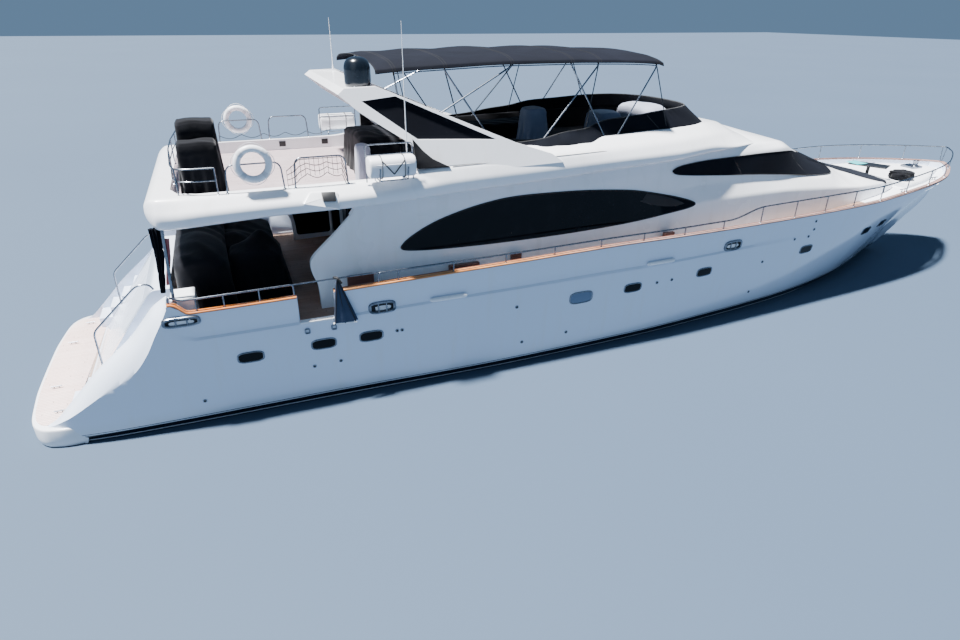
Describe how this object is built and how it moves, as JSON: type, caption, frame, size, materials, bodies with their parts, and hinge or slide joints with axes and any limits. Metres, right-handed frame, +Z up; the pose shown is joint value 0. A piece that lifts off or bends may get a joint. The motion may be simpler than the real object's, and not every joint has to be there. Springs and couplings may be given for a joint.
{
  "type": "motor yacht",
  "caption": "Large flybridge motor yacht afloat, with raked deckhouse, radar arch, bimini, teak decks, transom garage door, stern stairs, propellers and rudders.",
  "frame": {"origin": "centreline amidships in the waterline plane", "axes": "+X to the bow, +Y to port, +Z up"},
  "size_m": [30.73, 6.9268, 10.0612],
  "materials": {
    "gelcoat": "gloss white gelcoat, black boot stripe, dark antifouling",
    "superstructure": "gloss white gelcoat",
    "teak": "weathered laid planks",
    "varnished_teak": "varnished",
    "dark_glass": "dark tinted",
    "screen_mesh": "black mesh sun cover",
    "navy_canvas": "woven canvas",
    "black_cover": "black cover cloth",
    "grey_cover": "grey cover cloth",
    "navy_panel": "satin",
    "black_plastic": "satin dome",
    "white_plastic": "satin",
    "stainless": "polished stainless tube",
    "bronze": "cast, dull",
    "antifouled_metal": "matt antifouling"
  },
  "bodies": {
    "yacht": {"hull": "gelcoat", "swim_platform": "gelcoat", "teak_deck": "teak", "caprail_aft_starboard": "varnished_teak", "caprail_aft_port": "varnished_teak", "caprail_forward": "teak", "stern_handrail_starboard": "stainless", "stern_handrail_port": "stainless", "deckhouse": "superstructure", "saloon_window_starboard": "dark_glass", "saloon_window_port": "dark_glass", "wheelhouse_window_starboard": "dark_glass", "wheelhouse_window_port": "dark_glass", "windshield": "screen_mesh", "aft_bulkhead": "superstructure", "flybridge": "superstructure", "overhang_pole_starboard": "stainless", "overhang_pole_port": "stainless", "radar_arch": "superstructure", "arch_panel_starboard": "navy_panel", "arch_panel_port": "navy_panel", "satellite_dome": "black_plastic", "flybridge_windscreen": "screen_mesh", "helm_cover": "grey_cover", "bar_cover": "black_cover", "aft_cover": "black_cover", "cockpit_cover": "black_cover", "flybridge_rail_starboard": "stainless", "flybridge_rail_port": "stainless", "flybridge_rail_aft": "stainless", "liferaft_starboard": "white_plastic", "liferaft_port": "white_plastic", "life_ring_starboard": "white_plastic", "life_ring_port": "white_plastic", "bimini_canvas": "navy_canvas", "bimini_frame": "stainless", "bow_rail": "stainless", "foredeck_moulding": "gelcoat", "foredeck_table": "navy_panel", "windlass": "stainless", "shaft_bracket_starboard": "bronze", "shaft_bracket_port": "bronze", "aerial": "white_plastic", "helm_chair_cover": "grey_cover", "lounge_cover_starboard": "black_cover", "lounge_cover_port": "black_cover", "foredeck_bag": "black_cover", "stern_curtain": "screen_mesh", "cockpit_rail_starboard": "stainless", "cockpit_rail_port": "stainless"},
    "garage_door": {"garage_door": "gelcoat"},
    "gate_port": {"gate_port": "gelcoat"},
    "gate_starboard": {"gate_starboard": "gelcoat"},
    "saloon_door_starboard": {"saloon_door_starboard": "dark_glass"},
    "saloon_door_port": {"saloon_door_port": "dark_glass"},
    "propeller_starboard": {"propeller_starboard": "bronze"},
    "propeller_port": {"propeller_port": "bronze"},
    "rudder_starboard": {"rudder_starboard": "antifouled_metal"},
    "rudder_port": {"rudder_port": "antifouled_metal"}
  },
  "joints": [
    {"name": "garage_door_hinge", "type": "hinge", "parent": "yacht", "child": "garage_door", "pos_m": [-12.9888, 0, 2.4516], "axis": [0, 1, 0], "range_deg": [0, 70]},
    {"name": "gate_port_hinge", "type": "hinge", "parent": "yacht", "child": "gate_port", "pos_m": [-9.81, 3.195, 2.5], "axis": [0, 0, -1], "range_deg": [0, 180]},
    {"name": "gate_starboard_hinge", "type": "hinge", "parent": "yacht", "child": "gate_starboard", "pos_m": [-9.81, -3.195, 2.5], "axis": [0, 0, -1], "range_deg": [0, 180]},
    {"name": "saloon_door_starboard_slide", "type": "slide", "parent": "yacht", "child": "saloon_door_starboard", "axis": [0, -1, 0], "range_m": [0, 0.7]},
    {"name": "saloon_door_port_slide", "type": "slide", "parent": "yacht", "child": "saloon_door_port", "axis": [0, 1, 0], "range_m": [0, 0.7]},
    {"name": "propeller_starboard_spin", "type": "hinge", "parent": "yacht", "child": "propeller_starboard", "pos_m": [-11.75, -1.25, -1.4], "axis": [-0.9914, 0, -0.1308], "continuous": true},
    {"name": "propeller_port_spin", "type": "hinge", "parent": "yacht", "child": "propeller_port", "pos_m": [-11.75, 1.25, -1.4], "axis": [-0.9914, 0, -0.1308], "continuous": true},
    {"name": "rudder_starboard_turn", "type": "hinge", "parent": "yacht", "child": "rudder_starboard", "pos_m": [-12.7, -1.25, -0.9], "axis": [0, 0, 1], "range_deg": [-35, 35]},
    {"name": "rudder_port_turn", "type": "hinge", "parent": "yacht", "child": "rudder_port", "pos_m": [-12.7, 1.25, -0.9], "axis": [0, 0, 1], "range_deg": [-35, 35]}
  ]
}
